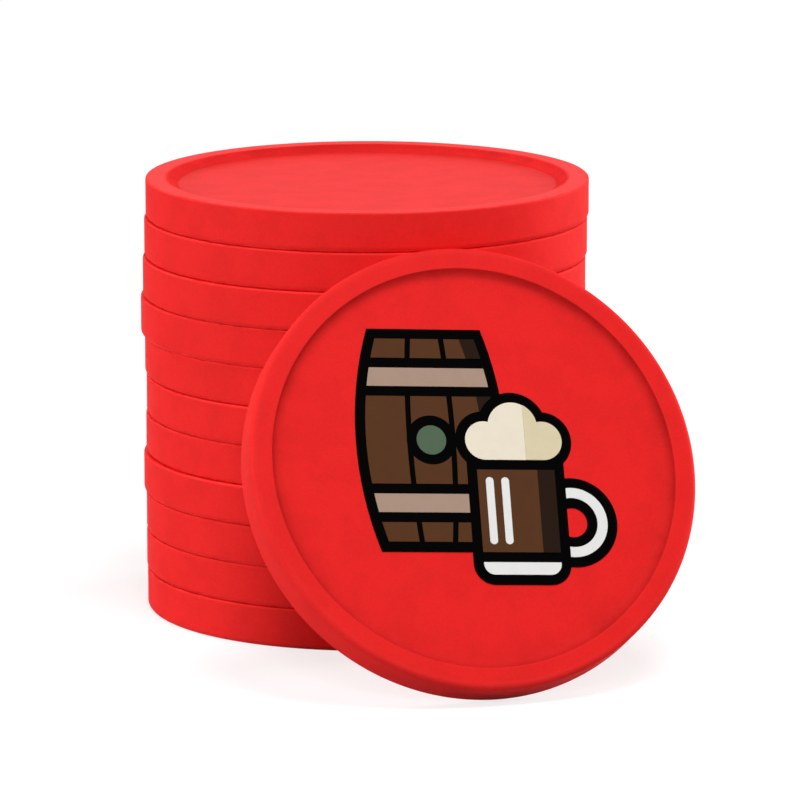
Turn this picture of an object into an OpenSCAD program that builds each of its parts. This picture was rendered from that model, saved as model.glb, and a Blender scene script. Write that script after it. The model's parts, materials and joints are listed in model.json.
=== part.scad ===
// Set of moulded drink chips: a loose stack, and a printed chip that leans on its side.
// Origin at the centre of the bottom chip's underside, +Z up, the printed face towards -Y.

/* [Chip] */
// Diameter of a chip
chip_d = 29; // [22:0.5:40]
// Thickness of a chip over its two rims
chip_t = 2.6; // [1.8:0.1:4]
// Width of the raised rim on each face, from the side of the chip to the recess
rim_w = 1.4; // [1:0.1:2.5]
// Depth of the recess in each face
recess_depth = 0.45; // [0.2:0.05:0.7]
// Draft of the recess wall, in degrees from upright
recess_draft = 30; // [5:1:50]
// Rounding of the outer edge round the face
face_edge_r = 0.4; // [0.1:0.05:0.5]
// Rounding of the outer edge round the back
back_edge_r = 0.12; // [0.06:0.02:0.5]
// Rounding of the rim's inner edge
lip_r = 0.08; // [0.02:0.02:0.2]
// Wide fillet where the recess wall runs into the recess floor
floor_r = 0.75; // [0.1:0.05:1.2]

/* [Stack] */
// Number of chips in the stack
stack_count = 11; // [2:1:20]
// How far the stack is out of line: 0 for straight, 1 as drawn
stack_disorder = 1; // [0:0.1:2]

/* [Leaning chip] */
// Lean of the printed chip, in degrees back from upright
lean_angle = 28.5; // [10:0.5:45]
// Way the printed chip faces, in degrees round from the front
lean_turn = 16.5; // [-60:0.5:60]
// Clearance between the printed chip and the side of the stack
lean_gap = 0.05; // [0.02:0.01:0.3]

/* [Print] */
// Thickness of one film of ink
ink_t = 0.04; // [0.03:0.01:0.05]
// Clearance under each film of ink
ink_gap = 0.002; // [0.001:0.001:0.005]
// Least width of bare floor between the print, which is sized to suit, and the recess fillet
print_margin = 1.2; // [0.5:0.1:4]
// Turn of the whole print on the chip, in degrees
print_turn = -4; // [-30:1:30]
// Width of the black key line as drawn
line_w = 0.65; // [0.4:0.05:0.9]

/* [Barrel in the print, as drawn inside its key line] */
// Width of the barrel at its belly
barrel_w = 8.4; // [7.6:0.2:9.6]
// Width of the barrel at its ends
barrel_end_w = 6.4; // [5:0.2:7.2]
// Height of the barrel
barrel_h = 13.2; // [12:0.2:14.4]
// Place of the barrel's middle from the chip's centre
barrel_at = [-2.6, 1.8]; // [-4:0.1:4]
// Number of staves that show
stave_count = 3; // [3:2:5]
// Width of the thin line between two staves
seam_w = 0.35; // [0.2:0.05:0.5]
// Width of the shade along the barrel's right side
stave_shade_w = 0.9; // [0.4:0.1:1.4]
// Height of a hoop
hoop_h = 1.2; // [0.8:0.1:1.5]
// Height of a hoop's middle above or below the barrel's middle
hoop_y = 4.1; // [3.7:0.1:4.4]
// Diameter of the bung
bung_d = 1.9; // [1:0.1:2.1]

/* [Mug in the print, as drawn inside its key line] */
// Width of the mug
mug_w = 5; // [4.2:0.2:6]
// Height of the mug, from its foot to the foam
mug_h = 6.8; // [5.6:0.2:8.4]
// Rounding of the two foot corners
mug_corner_r = 0.7; // [0.3:0.1:1.2]
// Place of the middle of the mug's foot from the chip's centre
mug_at = [2.7, -6.9]; // [-9:0.1:5]
// Height of the glass base
base_h = 0.8; // [0.5:0.1:1.2]
// Width of the shade along the drink's right side
drink_shade_w = 1.1; // [0.6:0.1:2]
// Diameter of the middle puff of foam
foam_d = 3.2; // [2.6:0.1:3.8]
// Diameter of the two puffs beside it
foam_side_d = 2.5; // [2:0.1:3]
// Height of the middle puff's centre above the puffs beside it
foam_rise = 0.9; // [0.4:0.1:1.4]
// Width of the shade on the foam's right end
foam_shade_w = 2.4; // [1.6:0.1:3.2]
// Diameter of the hole in the handle
handle_hole_d = 1.9; // [1.4:0.1:2.6]
// Width of the handle's bar
handle_bar_w = 0.65; // [0.4:0.05:0.9]
// How far the handle's middle stands out from the mug's side
handle_out = 0.3; // [0:0.1:0.8]
// Width of a glint on the glass
glint_w = 0.5; // [0.3:0.05:0.7]
// Room between glints, and from them to the edge of the drink
glint_gap = 0.5; // [0.3:0.05:0.8]

/* [Hidden] */
$fn = 128;
// Segments of the wide arcs in the print
arc_fn = 360;
// Overshoot of a cut past the face it opens
over = 1;
chip_r = chip_d / 2;
half_t = chip_t / 2;
stack_h = stack_count * chip_t;
chip_red = "#e52828";

// Out-of-line shifts of the stack's chips, from the bottom one up
stack_shifts = [
    [0, 0], [-0.05, 0.05], [-0.05, -0.05], [-0.2, -0.05], [-0.05, 0.05], [0, -0.1],
    [-0.1, 0.1], [-0.35, 0.05], [-0.2, -0.2], [-0.1, -0.15], [0, -0.2]
];
stack_places = [0:stack_count - 1];
function stack_shift(i) = stack_disorder * stack_shifts[i % len(stack_shifts)];
function chip_name(i) = str("stack_chip_", i < 9 ? "0" : "", i + 1);

PRINT_NODES = [
    "print_key_line", "print_brown", "print_cream", "print_light_grey",
    "print_green", "print_mauve", "print_dark_brown", "print_tan"
];

// Recess section: its sharp corners, and the rounds that its sloping wall has room for
wall_len = recess_depth / cos(recess_draft);
wall_dir = [sin(recess_draft), cos(recess_draft)];
lip = [chip_r - rim_w, half_t];
foot = lip - wall_len * wall_dir;
tangent_share = tan((90 - recess_draft) / 2);
lip_share = 0.12;
floor_share = 0.86;
lip_round = min(lip_r, lip_share * wall_len / tangent_share);
floor_round = min(floor_r, floor_share * wall_len / tangent_share);
lip_tangent = lip_round * tangent_share;
floor_tangent = floor_round * tangent_share;
floor_z = chip_t - recess_depth;

// Rest of the leaning chip: its rounded back edge stands on the ground and leans on the stack,
// on the stack's side where that is high enough and else on its top edge
edge_lift = back_edge_r * (sin(lean_angle) + cos(lean_angle) - 1);
lean_dir = [sin(lean_turn), -cos(lean_turn)];
stack_reach = max([for (i = stack_places) stack_shift(i) * lean_dir]);
touch_h = (chip_d - back_edge_r) * cos(lean_angle) + back_edge_r * sin(lean_angle) - edge_lift;
side_run = chip_d * sin(lean_angle) - edge_lift;
top_run = (stack_h + edge_lift) * tan(lean_angle);
lean_foot = chip_r + stack_reach + lean_gap + (touch_h < stack_h ? side_run : top_run);
lean_out = lean_foot - chip_r * sin(lean_angle);
lean_up = chip_r * cos(lean_angle) - edge_lift;

// Layers of ink, counted up from the recess floor
key_layer = 0;
colour_layer = 1;
shade_layer = 2;

// Places in the mug, from the middle of its foot
foam_y = mug_h + line_w + foam_side_d / 2;
foam_x = mug_w / 2 - foam_side_d / 4;
handle_at = [mug_w / 2 + line_w + handle_out, mug_h / 2];
handle_r = handle_hole_d / 2 + line_w + handle_bar_w;

// Scale that fits the print's farthest corners and curves on the recess floor
barrel_corner = [barrel_end_w / 2 + line_w, barrel_h / 2 + line_w];
mug_corner = [mug_w / 2 + line_w, -line_w];
print_reaches = [
    norm(barrel_at + barrel_corner),
    norm(barrel_at - barrel_corner),
    norm(barrel_at + [-barrel_corner.x, barrel_corner.y]),
    norm(mug_at + mug_corner),
    norm(mug_at + [-mug_corner.x, mug_corner.y]),
    norm(mug_at + handle_at) + handle_r + line_w
];
print_scale = (foot.x - floor_tangent - print_margin) / max(print_reaches);

// Section of a chip through its axis, about its middle plane, with the face up
module chip_section() {
    difference() {
        translate([0, -half_t]) square([chip_r, chip_t]);
        edge_cut(face_edge_r);
        mirror([0, 1]) edge_cut(back_edge_r);
        recess_section();
        mirror([0, 1]) recess_section();
    }
}

// What a rounding takes off the upper outer corner of the section
module edge_cut(r) {
    translate([chip_r - r, half_t - r]) difference() {
        square(r + over);
        circle(r);
    }
}

// Section of the upper recess: sloping wall, rounded lip above and fillet below
module recess_section() {
    difference() {
        polygon([[-over, foot.y], foot, lip, lip + [0, over], [-over, half_t + over]]);
        difference() {
            polygon([foot, foot - [floor_tangent, 0], foot + floor_tangent * wall_dir]);
            translate(foot + [-floor_tangent, floor_round]) circle(floor_round);
        }
    }
    difference() {
        polygon([
            lip - lip_tangent * wall_dir, lip, lip + [0, over],
            lip + [lip_tangent, over], lip + [lip_tangent, 0]
        ]);
        translate(lip + [lip_tangent, -lip_round]) circle(lip_round);
    }
}

// One chip, lying on its back with its axis on Z
module chip_blank() {
    translate([0, 0, half_t]) rotate_extrude() chip_section();
}

// One chip of the stack, which lies face down on the one below
module stack_chip(i) {
    shift = stack_shift(i);
    color(chip_red)
        translate([shift.x, shift.y, (i + 1) * chip_t])
            rotate([180, 0, 0])
                chip_blank();
}

// Moves what lies at the origin as a chip does to where the leaning chip is
module leaning() {
    translate([lean_out * lean_dir.x, lean_out * lean_dir.y, lean_up])
        rotate([90 - lean_angle, 0, lean_turn])
            children();
}

module front_chip() {
    color(chip_red) leaning() chip_blank();
}

// A film of ink with the drawn outline, in one of the layers on the leaning chip
module film(layer) {
    leaning()
        translate([0, 0, floor_z + ink_gap + layer * (ink_t + ink_gap)])
            linear_extrude(ink_t)
                rotate(print_turn)
                    scale(print_scale)
                        children();
}

// Radius of an upright arc, as high as the barrel, that draws in by drop at its ends
function bulge_radius(drop) = (barrel_h ^ 2 / 4 + drop ^ 2) / (2 * drop);

// Wide disc whose right edge runs down the barrel at a half width, as a stave's edge does
module bulge_disc(half_w, grow) {
    r = bulge_radius(half_w * (1 - barrel_end_w / barrel_w));
    translate([half_w - r, 0]) circle(r + grow, $fn = arc_fn);
}

module barrel_outline(grow) {
    intersection() {
        bulge_disc(barrel_w / 2, grow);
        mirror([1, 0]) bulge_disc(barrel_w / 2, grow);
        square([barrel_w, barrel_h] + 2 * [grow, grow], center = true);
    }
}

// Thin lines between the staves
module stave_seams() {
    for (k = [(stave_count + 1) / 2:stave_count - 1], side = [0, 1]) {
        half_w = barrel_w * (k / stave_count - 1 / 2);
        mirror([side, 0]) difference() {
            bulge_disc(half_w, seam_w / 2);
            bulge_disc(half_w, -seam_w / 2);
        }
    }
}

module hoop_bands(grow) {
    for (side = [-1, 1]) {
        translate([0, side * hoop_y]) square([2 * barrel_w, hoop_h + 2 * grow], center = true);
    }
}

module bung(grow) {
    circle(bung_d / 2 + grow);
}

module staves() {
    difference() {
        barrel_outline(0);
        stave_seams();
        hoop_bands(line_w);
        bung(line_w);
    }
}

// Straight-sided glass with two rounded foot corners
module mug_outline(grow) {
    half_w = mug_w / 2 + grow;
    corner = mug_corner_r + grow;
    translate([0, -grow]) {
        translate([-half_w, corner]) square([2 * half_w, mug_h + 2 * grow - corner]);
        translate([corner - half_w, 0]) square([2 * (half_w - corner), mug_h + 2 * grow]);
        for (side = [-1, 1]) {
            translate([side * (half_w - corner), corner]) circle(corner);
        }
    }
}

// Three puffs of foam on a straight lower edge
module foam_outline(grow) {
    translate([0, foam_y + foam_rise]) circle(foam_d / 2 + grow);
    for (side = [-1, 1]) {
        translate([side * foam_x, foam_y]) circle(foam_side_d / 2 + grow);
    }
    translate([-foam_x, mug_h + line_w - grow]) square([2 * foam_x, foam_side_d / 2 + grow]);
}

module handle_ring(grow) {
    translate(handle_at) difference() {
        circle(handle_r + grow);
        circle(handle_r - handle_bar_w - grow);
    }
}

module glass_base() {
    intersection() {
        mug_outline(0);
        translate([-mug_w, 0]) square([2 * mug_w, base_h]);
    }
}

// Drink between the glass base and the foam
module drink() {
    difference() {
        mug_outline(0);
        translate([-mug_w, 0]) square([2 * mug_w, base_h + line_w]);
        foam_outline(line_w);
    }
}

// Two upright glints on the left of the drink
module glints() {
    low = base_h + line_w + glint_gap + glint_w / 2;
    high = mug_h - glint_gap - glint_w / 2;
    for (k = [0, 1]) {
        translate([glint_gap - mug_w / 2 + glint_w / 2 + k * (glint_w + glint_gap), 0]) {
            translate([-glint_w / 2, low]) square([glint_w, high - low]);
            translate([0, low]) circle(glint_w / 2);
            translate([0, high]) circle(glint_w / 2);
        }
    }
}

// Everything of the mug, which hides the barrel behind it
module mug_silhouette() {
    translate(mug_at) {
        mug_outline(line_w);
        foam_outline(line_w);
        handle_ring(line_w);
    }
}

// What shows of the barrel's fills beside the mug
module behind_mug() {
    difference() {
        translate(barrel_at) children();
        mug_silhouette();
    }
}

module print_key_line() {
    color("#0a0a0a") film(key_layer) {
        translate(barrel_at) barrel_outline(line_w);
        mug_silhouette();
    }
}

module print_brown() {
    color("#583723") film(colour_layer) {
        behind_mug() staves();
        translate(mug_at) drink();
    }
}

module print_cream() {
    color("#ece2cd") film(colour_layer) translate(mug_at) foam_outline(0);
}

module print_light_grey() {
    color("#e8e8e6") {
        film(colour_layer) translate(mug_at) {
            glass_base();
            difference() {
                handle_ring(0);
                mug_outline(line_w);
                foam_outline(line_w);
            }
        }
        film(shade_layer) translate(mug_at) glints();
    }
}

module print_green() {
    color("#546854") film(colour_layer) behind_mug() bung(0);
}

module print_mauve() {
    color("#ab9080") film(colour_layer) behind_mug() intersection() {
        barrel_outline(0);
        hoop_bands(0);
    }
}

module print_dark_brown() {
    color("#291c15") film(shade_layer) {
        behind_mug() difference() {
            staves();
            bulge_disc(barrel_w / 2, -stave_shade_w);
        }
        translate(mug_at) intersection() {
            drink();
            translate([mug_w / 2 - drink_shade_w, 0]) square([drink_shade_w, mug_h]);
        }
    }
}

module print_tan() {
    color("#dccfad") film(shade_layer) translate(mug_at) intersection() {
        foam_outline(0);
        translate([foam_x + foam_side_d / 2 - foam_shade_w, mug_h]) square([foam_shade_w, foam_y]);
    }
}

for (i = stack_places) {
    stack_chip(i);
}
front_chip();
print_key_line();
print_brown();
print_cream();
print_light_grey();
print_green();
print_mauve();
print_dark_brown();
print_tan();
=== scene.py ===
# Drink chip set: a stack of moulded plastic chips, and a printed chip that leans on the stack.
import json
import math

import bmesh
import bpy
from bpy.props import FloatProperty, FloatVectorProperty, IntProperty, PointerProperty
from mathutils import Matrix, Vector, noise


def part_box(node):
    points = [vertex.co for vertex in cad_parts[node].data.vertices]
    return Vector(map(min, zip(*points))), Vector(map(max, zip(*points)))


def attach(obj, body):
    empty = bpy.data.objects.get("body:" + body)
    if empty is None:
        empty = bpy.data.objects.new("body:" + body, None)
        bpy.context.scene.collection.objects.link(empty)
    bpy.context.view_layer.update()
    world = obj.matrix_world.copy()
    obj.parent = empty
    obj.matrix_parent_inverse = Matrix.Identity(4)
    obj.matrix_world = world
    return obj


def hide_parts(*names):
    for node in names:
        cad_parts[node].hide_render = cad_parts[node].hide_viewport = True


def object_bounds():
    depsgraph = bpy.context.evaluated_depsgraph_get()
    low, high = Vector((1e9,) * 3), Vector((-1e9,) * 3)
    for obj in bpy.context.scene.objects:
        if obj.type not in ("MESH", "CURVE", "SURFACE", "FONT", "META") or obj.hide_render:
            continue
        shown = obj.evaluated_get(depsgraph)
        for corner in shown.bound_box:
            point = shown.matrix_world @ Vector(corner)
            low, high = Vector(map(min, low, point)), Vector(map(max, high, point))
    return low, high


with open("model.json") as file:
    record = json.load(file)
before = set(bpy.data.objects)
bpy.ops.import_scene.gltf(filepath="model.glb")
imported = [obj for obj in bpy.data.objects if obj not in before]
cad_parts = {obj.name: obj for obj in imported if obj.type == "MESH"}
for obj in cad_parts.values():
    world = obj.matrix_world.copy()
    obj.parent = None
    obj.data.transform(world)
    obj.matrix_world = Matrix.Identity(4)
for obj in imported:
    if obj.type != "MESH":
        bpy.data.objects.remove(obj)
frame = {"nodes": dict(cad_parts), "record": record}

bl_info = {
    "name": "Drink chip set",
    "version": (1, 0, 0),
    "blender": (4, 5, 0),
    "location": "3D View > Sidebar > Drink chips",
    "description": "Builds a stack of moulded drink chips and a printed chip that leans on it",
    "category": "Object",
}

MM = 0.001
# How much the moulded chips are smaller than the frame's, across and in thickness
SIDE_SKIN = 0.008 * MM
FACE_SKIN = 0.002 * MM
CAD_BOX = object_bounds()

STACK_NODES = sorted(name for name in frame["nodes"] if name.startswith("stack_chip_"))
LEANING_NODE = "front_chip"
LEANING_JOINT = "front_chip_pick_up"
PLASTIC_MATERIAL = "red_moulded_plastic"

# How light the edges are made, by abrasion and by painted highlight: the stacked chips lie on each other,
# the leaning one stands free
STACK_WEAR_HIGHLIGHT = 1.0
LEANING_WEAR_HIGHLIGHT = 0.1

# Step from one chip's seed to the next, so that no two have the same clouds
SEED_STEP = 0.37

# Rings on the recess floor, and steps in its fillet, in the lip and in the outer edge
FLOOR_RINGS = 12
FILLET_STEPS = 10
LIP_STEPS = 5
EDGE_STEPS = 8
# Width of the strip beside a round in which one finish goes over into the next
FINISH_STRIP = 0.15 * MM
# How steeply the waves in the recess floor rise from its edge, and which way a seed moves them
WAVE_RISE = 4
WAVE_SHIFT = Vector((1, 2, -1))

# Turn of the chips in the stack, which lie face down
FACE_DOWN = Matrix.Rotation(math.pi, 4, "X")

# Ink of each film of the print, by the name of its node
INK_OF_FILM = {
    "print_key_line": "black",
    "print_brown": "brown",
    "print_cream": "cream",
    "print_light_grey": "light_grey",
    "print_green": "green",
    "print_mauve": "mauve",
    "print_dark_brown": "dark_brown",
    "print_tan": "tan",
}

# Names of the values that a chip's mesh carries for its material
WORN_HIGHLIGHT = "worn_highlight_edge"
TEXTURED = "textured_floor"
POLISHED = "polished_face"
CORNER = "recess_corner"
SEED = "chip_seed"

# Finish of each stretch of a chip's section, in the first three of those values; the first lightens the
# edges as abrasion and painted highlight
FLOOR_FINISH = {WORN_HIGHLIGHT: 0, TEXTURED: 1, POLISHED: 1}
FILLET_FINISH = {WORN_HIGHLIGHT: 0, TEXTURED: 1, POLISHED: 0}
LIP_FINISH = {WORN_HIGHLIGHT: 0.2, TEXTURED: 0.5, POLISHED: 0}
LAND_FINISH = {WORN_HIGHLIGHT: 0.2, TEXTURED: 0, POLISHED: 1}
SIDE_FINISH = {WORN_HIGHLIGHT: 0, TEXTURED: 0, POLISHED: 0}

# Octaves of the soft noise for fine and for cloudy marks, how strong each is to the one before, and the
# level in the middle of the noise
FINE_DETAIL = 2
CLOUD_DETAIL = 3
NOISE_ROUGHNESS = 0.55
NOISE_MIDDLE = 0.5
# Levels of the noise between which the marks on a surface come up
CLOUD_BAND = (0.42, 0.62)
GRAIN_BAND = (0.35, 0.65)
RUB_HIGHLIGHT_BAND = (0.2, 0.6)
THIN_INK_BAND = (0.4, 0.65)
# Random tints of the cells between which specks come up, and the share of a speck's radius that has
# its full colour
SPECK_BAND = (0.6, 0.9)
SPECK_CORE = 0.3
# Painted shade in the corner of the recess where the noise is lowest, and how much more there is where it
# is highest
SHADE_LEAST = 0.6
SHADE_SPREAD = 0.8
# How far the roughness changes on a textured floor, on a rubbed edge, and with the noise
FLOOR_ROUGHNESS = 0.08
RUBBED_ROUGHNESS = -0.06
CLOUD_ROUGHNESS = 0.1
GRAIN_ROUGHNESS = 0.08
PATCH_ROUGHNESS = 0.12
# Share of the grain that shows in the colour of the ink
INK_GRAIN = 0.4
# Height of the grain off the textured floor and under the ink, and of the patches in the ink, as shares
SMOOTH_RELIEF = 0.5
INK_RELIEF = 0.5
PATCH_RELIEF = 0.5

# Sockets of a Mix node that blends colours, whose names its other modes use too
MIX_FACTOR = 0
MIX_COLOURS = (6, 7)
MIX_RESULT = 2

BLACK = (0, 0, 0)

# Softboxes about the set: azimuth from the front, to the right, and elevation, in degrees
SOFTBOXES = {
    "key": (30, 70),
    "front_fill": (0, 30),
    "back_fill": (-135, 30),
    "left_rim": (-90, 8),
    "right_rim": (120, 8),
}
# Their distance and width in metres, and the highest level that a light can be set to
SOFTBOX_DISTANCE = 0.6
SOFTBOX_WIDTH = 0.2
MOST_LIGHT = 4
# Distance in metres at which the camera's view begins
NEAR_CLIP = 0.01
# Cells along each side of the floor, and how far from its middle, in metres, it goes over from lit paper
# to plain white
FLOOR_CELLS = 8
FLOOR_FADE = (0.15, 0.4)


def box_size(node):
    """Width, depth and height of a node of the frame."""
    low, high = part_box(node)
    return Vector(high) - Vector(low)


def middle_along(node, axes):
    """Middle of a node of the frame, from how far it reaches along a set of axes."""
    turned = axes.inverted()
    places = [turned @ vertex.co for vertex in frame["nodes"][node].data.vertices]
    ends = [(min(values), max(values)) for values in zip(*places)]
    return axes @ Vector([(low + high) / 2 for low, high in ends])


def body_of(node):
    """Name of the body that carries a node."""
    bodies = frame["record"]["behaviour"]["bodies"]
    return next(body for body, nodes in bodies.items() if node in nodes)


def screen_colour(red, green, blue):
    """Linear colour of a screen colour given in levels from 0 to 255."""
    def linear(level):
        value = level / 255
        return value / 12.92 if value <= 0.04045 else ((value + 0.055) / 1.055) ** 2.4
    return tuple(linear(level) for level in (red, green, blue))


def length(name, description, default):
    """A property that holds a size in metres."""
    return FloatProperty(
        name=name, description=description, default=default,
        min=0, precision=6, subtype="DISTANCE", unit="LENGTH",
    )


def angle(name, description, degrees):
    """A property that holds an angle, with its default in degrees."""
    return FloatProperty(
        name=name, description=description, default=math.radians(degrees), subtype="ANGLE"
    )


def share(name, description, default, most=1):
    """A property that holds a plain number from 0 up."""
    return FloatProperty(
        name=name, description=description, default=default, min=0, max=most, subtype="FACTOR"
    )


def light_level(name, description, default):
    """A property that holds a level of light, 1 for the light that shows white as white."""
    return share(name, description, default, MOST_LIGHT)


def colour(name, description, default):
    """A property that holds a linear colour."""
    return FloatVectorProperty(
        name=name, description=description, default=default, size=3, min=0, max=1, subtype="COLOR"
    )


class ChipSizes(bpy.types.PropertyGroup):
    """Sizes of the moulded chip."""

    diameter: length("Diameter", "Diameter of a chip", box_size(STACK_NODES[0]).x - SIDE_SKIN)
    thickness: length("Thickness", "Thickness over both rims", box_size(STACK_NODES[0]).z - FACE_SKIN)
    rim_width: length("Rim width", "Width of the raised rim", 1.4 * MM)
    recess_depth: length("Recess depth", "Depth of the recess in each face", 0.45 * MM)
    recess_draft: angle("Recess draft", "Slope of the recess wall from upright", 30)
    face_round: length("Face edge round", "Rounding of the outer edge round the face", 0.4 * MM)
    back_round: length("Back edge round", "Rounding of the outer edge round the back", 0.12 * MM)
    lip_round: length("Lip round", "Rounding of the rim's inner edge", 0.08 * MM)
    floor_round: length("Floor fillet", "Wide fillet between the recess floor and its wall", 0.75 * MM)
    # Reach of the painted shade in the recess, inwards from its lip
    shade_reach: length("Dust reach", "How far from the lip dust lies in the recess", 1.6 * MM)
    sink: length("Sink", "How far the recess floor sinks towards its middle", 0.012 * MM)
    unevenness: length("Unevenness", "Depth of the slow waves in the moulded skin", 0.006 * MM)
    wave: length("Wave length", "Length of those waves", 5 * MM)
    segments: IntProperty(name="Segments", description="Steps round a chip", default=180, min=24, max=720)


class PlasticFinish(bpy.types.PropertyGroup):
    """Finish of the red plastic."""

    # The matt side's red is paler than the faces' red: it carries a painted sheen in place of the polish
    # that the faces have
    red: colour("Red", "Colour of the matt side", screen_colour(233, 42, 41))
    face_red: colour("Face red", "Colour of the faces under their polish", screen_colour(233, 32, 31))
    # Lighter red of the edges, for abrasion and as painted highlight
    worn_highlight_red: colour("Worn red", "Colour of the rubbed edges", screen_colour(255, 66, 64))
    speck: colour("Speck", "Colour of the fine dark specks", screen_colour(150, 12, 14))
    cloud: length("Cloud size", "Size of the darker clouds", 2.2 * MM)
    grain: length("Grain size", "Size of the fine grain of the mould", 0.16 * MM)
    grain_height: length("Grain height", "Height of the fine grain", 0.003 * MM)
    speck_room: length("Speck room", "Room that each speck has", 1.7 * MM)
    speck_radius: length("Speck radius", "Radius of a speck", 0.09 * MM)
    speckle: share("Speckle", "How much of its colour a speck shows", 0.5)
    # How much of that lighter red shows, abrasion and painted highlight together
    rub_highlight: share("Rub", "How much of the worn red a rubbed edge shows", 0.9)
    roughness: share("Roughness", "Roughness of the bare plastic", 0.55)
    cloudiness: share("Cloudiness", "How much darker the clouds in the plastic are", 0.05)
    # Strength of the painted shade in the corner of the recess
    corner_shade: share("Corner dust", "How much darker the dust makes the corner of the recess", 0.25)
    gloss: share("Gloss", "Strength of the reflection, 0.5 for common plastic", 0.01)
    polish: share("Polish", "Polish of the two faces, which handling leaves smoother than the side", 0.2)
    polish_roughness: share("Polish roughness", "Roughness of that polish", 0.35)


class InkFinish(bpy.types.PropertyGroup):
    """Finish of the printed inks."""

    black: colour("Black", "Colour of the key line", screen_colour(2, 2, 2))
    brown: colour("Brown", "Colour of the staves and the drink", screen_colour(88, 55, 35))
    cream: colour("Cream", "Colour of the foam", screen_colour(236, 226, 205))
    light_grey: colour("Light grey", "Colour of the glass", screen_colour(232, 232, 230))
    green: colour("Green", "Colour of the bung", screen_colour(84, 104, 84))
    mauve: colour("Mauve", "Colour of the hoops", screen_colour(171, 144, 128))
    dark_brown: colour("Dark brown", "Colour of the shade on brown", screen_colour(41, 28, 21))
    tan: colour("Tan", "Colour of the shade on the foam", screen_colour(220, 207, 173))
    streak: length("Streak size", "Size of the uneven patches in the ink", 0.9 * MM)
    unevenness: share("Unevenness", "How much darker the thin patches are", 0.025)
    roughness: share("Roughness", "Roughness of the dry ink", 0.62)
    gloss: share("Gloss", "Strength of the reflection, 0.5 for common plastic", 0.01)


class StageSettings(bpy.types.PropertyGroup):
    """Camera, lights and floor."""

    camera_place: FloatVectorProperty(
        name="Camera place", description="Place of the camera", default=(0.00049, -0.46203, 0.10523),
        size=3, subtype="TRANSLATION", unit="LENGTH",
    )
    camera_pitch: angle("Camera pitch", "How far the camera looks down", 11.214)
    camera_yaw: angle("Camera yaw", "How far the camera looks to the right", 0.206)
    lens: FloatProperty(name="Lens", description="Focal length on a 36 mm frame", default=322.17, min=1)
    ambient: light_level("Ambient", "Level of the white surroundings", 0.04)
    key: light_level("Key", "Level of the softbox high above the right front", 0.65)
    front_fill: light_level("Front fill", "Level of the softbox above the front", 0.4)
    back_fill: light_level("Back fill", "Level of the softbox behind the left", 0.25)
    left_rim: light_level("Left rim", "Level of the low softbox on the left", 0.69)
    right_rim: light_level("Right rim", "Level of the low softbox behind the right", 1.06)
    floor_white: share("Floor white", "White of the floor as the camera sees it", 0.3)
    floor_glow: share("Floor glow", "Light that the paper floor sends the camera by itself", 0.75)
    floor_bounce: share("Floor bounce", "Share of light that the floor throws back on the chips", 0.43)
    floor_size: length("Floor size", "Width of the floor", 6.0)
    floor_gap: length("Floor gap", "Clearance under the chips", 0.01 * MM)


class Signal:
    """A socket whose value varies over a surface: sums and products of it add Math nodes."""

    def __init__(self, surface, socket):
        self.surface = surface
        self.socket = socket

    def calculate(self, operation, first, second):
        """Adds a Math node for two values."""
        return self.surface.signal("ShaderNodeMath", 0, {"operation": operation}, {0: first, 1: second})

    def __add__(self, other):
        return self.calculate("ADD", self, other)

    __radd__ = __add__

    def __sub__(self, other):
        return self.calculate("SUBTRACT", self, other)

    def __rsub__(self, other):
        return self.calculate("SUBTRACT", other, self)

    def __mul__(self, other):
        return self.calculate("MULTIPLY", self, other)

    __rmul__ = __mul__

    def either(self, other):
        """The larger of two values."""
        return self.calculate("MAXIMUM", self, other)

    def band(self, start, end):
        """0 up to start and 1 from end on, or the other way round if end is the lower one."""
        return self.surface.signal(
            "ShaderNodeMapRange", 0, {"interpolation_type": "SMOOTHSTEP", "clamp": True},
            {"Value": self, "From Min": start, "From Max": end},
        )


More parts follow.
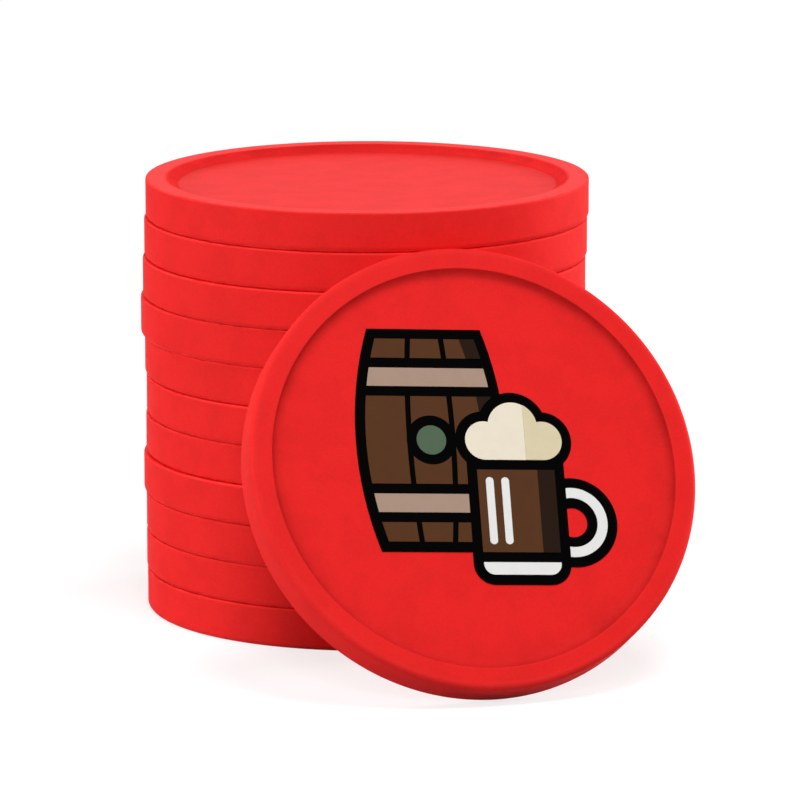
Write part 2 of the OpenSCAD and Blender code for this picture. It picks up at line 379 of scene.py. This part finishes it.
class Surface:
    """Node tree of one material or of the world."""

    def __init__(self, owner):
        owner.use_nodes = True
        self.owner = owner
        self.tree = owner.node_tree
        self.tree.nodes.clear()

    def node(self, kind, settings=None, inputs=None):
        """Adds a node of a type, with its settings and then the values or links of its sockets."""
        made = self.tree.nodes.new(kind)
        for name, value in (settings or {}).items():
            setattr(made, name, value)
        for name, value in (inputs or {}).items():
            if isinstance(value, Signal):
                self.tree.links.new(value.socket, made.inputs[name])
            else:
                made.inputs[name].default_value = value
        return made

    def signal(self, kind, output, settings=None, inputs=None):
        """Adds a node and gives one of its outputs."""
        return Signal(self, self.node(kind, settings, inputs).outputs[output])

    def blend(self, factor, first, second):
        """Colour that goes from the first to the second."""
        ends = {
            socket: value if isinstance(value, Signal) else (*value, 1)
            for socket, value in zip(MIX_COLOURS, (first, second))
        }
        return self.signal("ShaderNodeMix", MIX_RESULT, {"data_type": "RGBA"}, {MIX_FACTOR: factor, **ends})

    def carried(self, name):
        """Value that the mesh carries under a name."""
        return self.signal("ShaderNodeAttribute", "Fac", {"attribute_name": name})

    def place(self):
        """Place on the object in metres."""
        return self.signal("ShaderNodeTexCoord", "Object")

    def shifted(self, place, amount):
        """A place moved by an amount along all three axes."""
        along = self.signal("ShaderNodeCombineXYZ", 0, None, {"X": amount, "Y": amount, "Z": amount})
        return self.signal("ShaderNodeVectorMath", 0, {"operation": "ADD"}, {0: place, 1: along})

    def clouds(self, place, size, detail=FINE_DETAIL):
        """Soft noise from 0 to 1 with features of a size in metres."""
        return self.signal(
            "ShaderNodeTexNoise", "Fac", None,
            {"Vector": place, "Scale": 1 / size, "Detail": detail, "Roughness": NOISE_ROUGHNESS},
        )

    def specks(self, place, room, radius):
        """1 in small round specks, one in some of the cells of a size in metres."""
        cells = self.node("ShaderNodeTexVoronoi", {"feature": "F1"}, {"Vector": place, "Scale": 1 / room})
        spot = Signal(self, cells.outputs["Distance"]).band(radius / room, SPECK_CORE * radius / room)
        tint = self.signal("ShaderNodeSeparateColor", 0, None, {0: Signal(self, cells.outputs["Color"])})
        return spot * tint.band(*SPECK_BAND)

    def bump(self, height, distance):
        """Normal of a surface with bumps of a height in metres."""
        inputs = {"Strength": 1, "Distance": distance, "Height": height}
        return self.signal("ShaderNodeBump", 0, None, inputs)

    def finish(self, kind, output_kind, inputs):
        """Adds the shader, joins it to the output and gives the owner of the tree."""
        shader = self.signal(kind, 0, None, inputs)
        self.node(output_kind, None, {"Surface": shader})
        return self.owner


def plastic_material(plastic):
    """Red moulded plastic: cloudy colour, fine grain, painted shade in the recess corners, abraded edges
    with painted highlight, a few specks.
    """
    surface = Surface(bpy.data.materials.new(PLASTIC_MATERIAL))
    place = surface.shifted(surface.place(), surface.carried(SEED))
    textured = surface.carried(TEXTURED)
    polished = surface.carried(POLISHED)
    clouds = surface.clouds(place, plastic.cloud, CLOUD_DETAIL)
    grain = surface.clouds(place, plastic.grain)
    rub_size = plastic.cloud / 2
    # Edges lightened by abrasion and by painted highlight, patchy with the noise
    rubbed_highlight = surface.carried(WORN_HIGHLIGHT) * surface.clouds(place, rub_size).band(*RUB_HIGHLIGHT_BAND)
    # Painted shade in the corner of the recess, patchy with the clouds
    recess_shading = surface.carried(CORNER) * (SHADE_LEAST + SHADE_SPREAD * clouds)
    specks = surface.specks(place, plastic.speck_room, plastic.speck_radius)

    cloudy = plastic.cloudiness * (clouds.band(*CLOUD_BAND) + grain.band(*GRAIN_BAND))
    # Face red under the polish, and the paler side red with its painted sheen where there is no polish
    red = surface.blend(polished, plastic.red, plastic.face_red)
    # Darker clouds, and the painted shade in the recess corner
    red = surface.blend(cloudy + plastic.corner_shade * recess_shading, red, BLACK)
    # Paints the lighter red on the edges: abrasion and painted highlight
    red = surface.blend(plastic.rub_highlight * rubbed_highlight, red, plastic.worn_highlight_red)
    red = surface.blend(plastic.speckle * specks, red, plastic.speck)
    rough = plastic.roughness + FLOOR_ROUGHNESS * textured + RUBBED_ROUGHNESS * rubbed_highlight
    noisy = CLOUD_ROUGHNESS * (clouds - NOISE_MIDDLE) + GRAIN_ROUGHNESS * (grain - NOISE_MIDDLE)
    height = grain * (SMOOTH_RELIEF + (1 - SMOOTH_RELIEF) * textured)
    return surface.finish("ShaderNodeBsdfPrincipled", "ShaderNodeOutputMaterial", {
        "Base Color": red,
        "Roughness": rough + noisy,
        "Normal": surface.bump(height, plastic.grain_height),
        "Specular IOR Level": plastic.gloss,
        "Coat Weight": plastic.polish * polished,
        "Coat Roughness": plastic.polish_roughness,
    })


def ink_material(name, tint, ink, plastic):
    """Dry ink that lies a little unevenly over the grain of the plastic."""
    surface = Surface(bpy.data.materials.new(f"{name}_ink"))
    place = surface.place()
    patches = surface.clouds(place, ink.streak, CLOUD_DETAIL)
    grain = surface.clouds(place, plastic.grain)
    thin = ink.unevenness * (patches.band(*THIN_INK_BAND) + INK_GRAIN * grain)
    noisy = PATCH_ROUGHNESS * (patches - NOISE_MIDDLE) + GRAIN_ROUGHNESS * (grain - NOISE_MIDDLE)
    return surface.finish("ShaderNodeBsdfPrincipled", "ShaderNodeOutputMaterial", {
        "Base Color": surface.blend(thin, tint, BLACK),
        "Roughness": ink.roughness + noisy,
        "Normal": surface.bump(grain + PATCH_RELIEF * patches, INK_RELIEF * plastic.grain_height),
        "Specular IOR Level": ink.gloss,
    })


def arc(centre, radius, start, end, steps):
    """Points on an arc between two angles in radians, both ends included."""
    turns = [start + (end - start) * step / steps for step in range(steps + 1)]
    return [
        Vector((centre.x + radius * math.cos(turn), centre.y + radius * math.sin(turn))) for turn in turns
    ]


class ChipProfile:
    """Half section of a chip from the middle of its face, over its side, to the middle of its back."""

    def __init__(self, sizes):
        self.sizes = sizes
        self.radius = sizes.diameter / 2
        self.half = sizes.thickness / 2
        slope = sizes.recess_draft
        self.tangent = math.tan((math.pi / 2 - slope) / 2)
        wall = Vector((math.sin(slope), math.cos(slope)))
        self.lip = Vector((self.radius - sizes.rim_width, self.half))
        foot = self.lip - wall * (sizes.recess_depth / math.cos(slope))
        self.floor_radius = foot.x - sizes.floor_round * self.tangent
        self.floor_height = foot.y
        face = self.one_side(sizes.face_round)
        back = self.one_side(sizes.back_round)
        under = [(Vector((point.x, -point.y)), values) for point, values in reversed(back[:-1])]
        self.rings = face + under

    def one_side(self, edge_round):
        """Points from the middle of a floor to the middle of the side, with values for the material."""
        sizes = self.sizes
        slope = sizes.recess_draft
        ring_gap = (self.floor_radius - FINISH_STRIP) / FLOOR_RINGS
        floor = [Vector((ring_gap * ring, self.floor_height)) for ring in range(FLOOR_RINGS + 1)]
        floor_in = Vector((self.floor_radius, self.floor_height + sizes.floor_round))
        lip_in = Vector((self.lip.x + sizes.lip_round * self.tangent, self.half - sizes.lip_round))
        edge_in = Vector((self.radius - edge_round, self.half - edge_round))
        edge = arc(edge_in, edge_round, math.pi / 2, 0, EDGE_STEPS)
        # The outer edge is made lightest next to the land, by abrasion and by a painted highlight on the
        # round
        rubbed_highlight = [((point.y - edge_in.y) / edge_round) ** 2 for point in edge]
        land_ends = (lip_in.x + FINISH_STRIP, edge_in.x - FINISH_STRIP)
        side_heights = (edge_in.y - FINISH_STRIP, edge_in.y / 2, 0)
        stretches = (
            (floor, FLOOR_FINISH),
            (arc(floor_in, sizes.floor_round, -math.pi / 2, -slope, FILLET_STEPS), FILLET_FINISH),
            (arc(lip_in, sizes.lip_round, math.pi - slope, math.pi / 2, LIP_STEPS), LIP_FINISH),
            ([Vector((distance, self.half)) for distance in land_ends], LAND_FINISH),
            *(([point], {**SIDE_FINISH, WORN_HIGHLIGHT: worn_highlight}) for point, worn_highlight in zip(edge, rubbed_highlight)),
            ([Vector((self.radius, height)) for height in side_heights], SIDE_FINISH),
        )
        return [
            (point, {**values, CORNER: self.painted_recess_shade(point)})
            for points, values in stretches
            for point in points
        ]

    def painted_recess_shade(self, point):
        """How much painted shade darkens a point: most at the lip of the recess, and none outside it."""
        inside = (self.lip.x - point.x) / self.sizes.shade_reach
        return max(0, 1 - inside) ** 2 if inside >= 0 else 0


def moulded_place(point, direction, sizes, profile, seed):
    """Place of a point of the lathe, drawn in a little where the plastic shrank as it cooled."""
    place = Vector((point.x * direction.x, point.x * direction.y, point.y))
    wave = (1 + noise.noise(place / sizes.wave + seed * WAVE_SHIFT)) / 2
    inside = 1 - min(1, point.x / profile.floor_radius) ** 2
    if inside > 0:
        drop = sizes.sink * inside + sizes.unevenness * wave * min(1, WAVE_RISE * inside)
        place.z -= math.copysign(drop, place.z)
    elif abs(point.y) < sizes.thickness / 2 - max(sizes.face_round, sizes.back_round):
        place -= direction * (sizes.unevenness * wave)
    return place


def chip_mesh(name, sizes, seed, wear_highlight):
    """Mesh of one chip about its middle, face up along Z, with edges as light as its edge level says, for
    abrasion and painted highlight.
    """
    profile = ChipProfile(sizes)
    mesh = bpy.data.meshes.new(name)
    shape = bmesh.new()
    layers = {key: shape.verts.layers.float.new(key) for key in (WORN_HIGHLIGHT, TEXTURED, POLISHED, CORNER, SEED)}
    turns = [2 * math.pi * step / sizes.segments for step in range(sizes.segments)]
    directions = [Vector((math.cos(turn), math.sin(turn), 0)) for turn in turns]

    def add_vertex(point, direction, values):
        vertex = shape.verts.new(moulded_place(point, direction, sizes, profile, seed))
        for key, value in values.items():
            vertex[layers[key]] = value
        vertex[layers[WORN_HIGHLIGHT]] *= wear_highlight
        vertex[layers[SEED]] = seed
        return vertex

    rings = []
    for point, values in profile.rings:
        around = directions if point.x > 0 else directions[:1]
        rings.append([add_vertex(point, direction, values) for direction in around])

    for ring, next_ring in zip(rings, rings[1:]):
        for step in range(sizes.segments):
            after = (step + 1) % sizes.segments
            if len(ring) == 1:
                corners = (ring[0], next_ring[step], next_ring[after])
            elif len(next_ring) == 1:
                corners = (ring[after], ring[step], next_ring[0])
            else:
                corners = (ring[step], next_ring[step], next_ring[after], ring[after])
            shape.faces.new(corners).smooth = True
    shape.to_mesh(mesh)
    shape.free()
    return mesh


def plastic_of(scene):
    """The red plastic, which all the chips share."""
    found = bpy.data.materials.get(PLASTIC_MATERIAL)
    return found or plastic_material(scene.drink_chip_plastic)


def add_chip(scene, node, axes, seed, wear_highlight):
    """A moulded chip in the place of a node of the frame, turned as its axes say."""
    name = f"moulded_{node}"
    mesh = chip_mesh(name, scene.drink_chip_sizes, seed, wear_highlight)
    mesh.materials.append(plastic_of(scene))
    mesh.transform(Matrix.Translation(middle_along(node, axes)) @ axes)
    chip = bpy.data.objects.new(name, mesh)
    scene.collection.objects.link(chip)
    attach(chip, body_of(node))
    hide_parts(node)


def leaning_axes():
    """Axes of the leaning chip: Z out of its printed face, Y up the face."""
    joints = frame["record"]["behaviour"]["joints"]
    joint = next(joint for joint in joints if joint["name"] == LEANING_JOINT)
    out = Vector(joint["axis"]).normalized()
    across = Vector((0, 0, 1)).cross(out).normalized()
    return Matrix((across, out.cross(across), out)).transposed().to_4x4()


class DRINK_CHIPS_OT_stack(bpy.types.Operator):
    """Build the chips of the stack"""

    bl_idname = "drink_chips.stack"
    bl_label = "Stacked chips"

    def execute(self, context):
        for number, node in enumerate(STACK_NODES, start=1):
            add_chip(context.scene, node, FACE_DOWN, SEED_STEP * number, STACK_WEAR_HIGHLIGHT)
        return {"FINISHED"}


class DRINK_CHIPS_OT_leaning(bpy.types.Operator):
    """Build the chip that leans on the stack"""

    bl_idname = "drink_chips.leaning"
    bl_label = "Leaning chip"

    def execute(self, context):
        seed = SEED_STEP * (len(STACK_NODES) + 1)
        add_chip(context.scene, LEANING_NODE, leaning_axes(), seed, LEANING_WEAR_HIGHLIGHT)
        return {"FINISHED"}


class DRINK_CHIPS_OT_print(bpy.types.Operator):
    """Give each film of the print its ink"""

    bl_idname = "drink_chips.print_inks"
    bl_label = "Print"

    def execute(self, context):
        ink = context.scene.drink_chip_ink
        for node, name in INK_OF_FILM.items():
            material = ink_material(name, getattr(ink, name), ink, context.scene.drink_chip_plastic)
            for slot in frame["nodes"][node].material_slots:
                slot.material = material
        return {"FINISHED"}


def add_camera(scene, stage):
    """Camera at the place from which the set is seen."""
    data = bpy.data.cameras.new("camera")
    data.lens = stage.lens
    data.clip_start = NEAR_CLIP
    camera = bpy.data.objects.new("camera", data)
    camera.location = stage.camera_place
    camera.rotation_euler = (math.pi / 2 - stage.camera_pitch, 0, -stage.camera_yaw)
    scene.collection.objects.link(camera)
    scene.camera = camera


def add_softbox(scene, name, target, level):
    """Square softbox that lights a surface facing it at a level."""
    azimuth, elevation = SOFTBOXES[name]
    data = bpy.data.lights.new(f"{name}_softbox", "AREA")
    data.size = SOFTBOX_WIDTH
    data.energy = level * (math.pi * SOFTBOX_DISTANCE) ** 2
    light = bpy.data.objects.new(f"{name}_softbox", data)
    turn = math.radians(azimuth)
    rise = math.radians(elevation)
    away = Vector((math.sin(turn) * math.cos(rise), -math.cos(turn) * math.cos(rise), math.sin(rise)))
    light.location = target + SOFTBOX_DISTANCE * away
    light.rotation_euler = away.to_track_quat("Z", "Y").to_euler()
    light.visible_camera = False
    scene.collection.objects.link(light)


def seen_directly(surface):
    """1 for rays that show a surface itself or its reflection, and 0 for those that gather light."""
    rays = surface.node("ShaderNodeLightPath")
    camera, glossy, through = (
        Signal(surface, rays.outputs[name])
        for name in ("Is Camera Ray", "Is Glossy Ray", "Is Transmission Ray")
    )
    return camera.either(glossy.either(through))


def grey(level):
    """Colour of a grey from black at 0 to white at 1."""
    return (level, level, level, 1)


def floor_material(stage):
    """White paper floor that keeps the shadow of the chips."""
    surface = Surface(bpy.data.materials.new("white_paper_floor"))
    paper = surface.signal("ShaderNodeBsdfDiffuse", 0, None, {"Color": grey(stage.floor_white)})
    glow = surface.signal("ShaderNodeEmission", 0, None, {"Strength": stage.floor_glow})
    near = surface.signal("ShaderNodeAddShader", 0, None, {0: paper, 1: glow})
    far = surface.signal("ShaderNodeEmission", 0, None, {"Strength": 1})
    away = surface.signal("ShaderNodeVectorMath", "Value", {"operation": "LENGTH"}, {0: surface.place()})
    shown = surface.signal("ShaderNodeMixShader", 0, None, {0: away.band(*FLOOR_FADE), 1: near, 2: far})
    bounce = surface.signal("ShaderNodeBsdfDiffuse", 0, None, {"Color": grey(stage.floor_bounce)})
    return surface.finish(
        "ShaderNodeMixShader", "ShaderNodeOutputMaterial", {0: seen_directly(surface), 1: bounce, 2: shown}
    )


def add_floor(scene, stage):
    """Flat floor under the chips."""
    mesh = bpy.data.meshes.new("floor")
    shape = bmesh.new()
    bmesh.ops.create_grid(shape, x_segments=FLOOR_CELLS, y_segments=FLOOR_CELLS, size=stage.floor_size / 2)
    shape.to_mesh(mesh)
    shape.free()
    mesh.materials.append(floor_material(stage))
    floor = bpy.data.objects.new("floor", mesh)
    floor.location.z = CAD_BOX[0].z - stage.floor_gap
    scene.collection.objects.link(floor)


def add_surroundings(scene, stage):
    """White surroundings, which light the chips less than they show."""
    world = bpy.data.worlds.new("white_surroundings")
    surface = Surface(world)
    light = surface.signal("ShaderNodeBackground", 0, None, {"Color": grey(1), "Strength": stage.ambient})
    shown = surface.signal("ShaderNodeBackground", 0, None, {"Color": grey(1), "Strength": 1})
    surface.finish(
        "ShaderNodeMixShader", "ShaderNodeOutputWorld", {0: seen_directly(surface), 1: light, 2: shown}
    )
    scene.world = world


class DRINK_CHIPS_OT_stage(bpy.types.Operator):
    """Build the camera, the lights and the floor"""

    bl_idname = "drink_chips.stage"
    bl_label = "Stage"

    def execute(self, context):
        scene = context.scene
        stage = scene.drink_chip_stage
        scene.view_settings.view_transform = "Standard"
        target = (CAD_BOX[0] + CAD_BOX[1]) / 2
        add_camera(scene, stage)
        add_surroundings(scene, stage)
        for name in SOFTBOXES:
            add_softbox(scene, name, target, getattr(stage, name))
        add_floor(scene, stage)
        return {"FINISHED"}


class DRINK_CHIPS_PT_panel(bpy.types.Panel):
    """Panel that lists the pieces and their settings"""

    bl_idname = "DRINK_CHIPS_PT_panel"
    bl_label = "Drink chips"
    bl_space_type = "VIEW_3D"
    bl_region_type = "UI"
    bl_category = "Drink chips"

    def draw(self, context):
        for operator in OPERATORS:
            self.layout.operator(operator.bl_idname)
        for name in SETTINGS:
            settings = getattr(context.scene, name)
            box = self.layout.box()
            for key in settings.bl_rna.properties.keys():
                if key not in UNLISTED:
                    box.prop(settings, key)


# Blender's own properties of a group of settings
UNLISTED = ("rna_type", "name")
SETTINGS = {
    "drink_chip_sizes": ChipSizes,
    "drink_chip_plastic": PlasticFinish,
    "drink_chip_ink": InkFinish,
    "drink_chip_stage": StageSettings,
}
OPERATORS = (DRINK_CHIPS_OT_stage, DRINK_CHIPS_OT_stack, DRINK_CHIPS_OT_leaning, DRINK_CHIPS_OT_print)


def register():
    """Registers the settings, the operators and the panel."""
    for group in SETTINGS.values():
        bpy.utils.register_class(group)
    for name, group in SETTINGS.items():
        setattr(bpy.types.Scene, name, PointerProperty(type=group))
    for operator in OPERATORS:
        bpy.utils.register_class(operator)
    bpy.utils.register_class(DRINK_CHIPS_PT_panel)


def unregister():
    """Takes the panel, the operators and the settings away again."""
    bpy.utils.unregister_class(DRINK_CHIPS_PT_panel)
    for operator in reversed(OPERATORS):
        bpy.utils.unregister_class(operator)
    for name in SETTINGS:
        delattr(bpy.types.Scene, name)
    for group in SETTINGS.values():
        bpy.utils.unregister_class(group)


def main():
    """Builds the pieces in order."""
    register()
    bpy.ops.drink_chips.stage()
    bpy.ops.drink_chips.stack()
    bpy.ops.drink_chips.leaning()
    bpy.ops.drink_chips.print_inks()


if __name__ == "__main__":
    main()
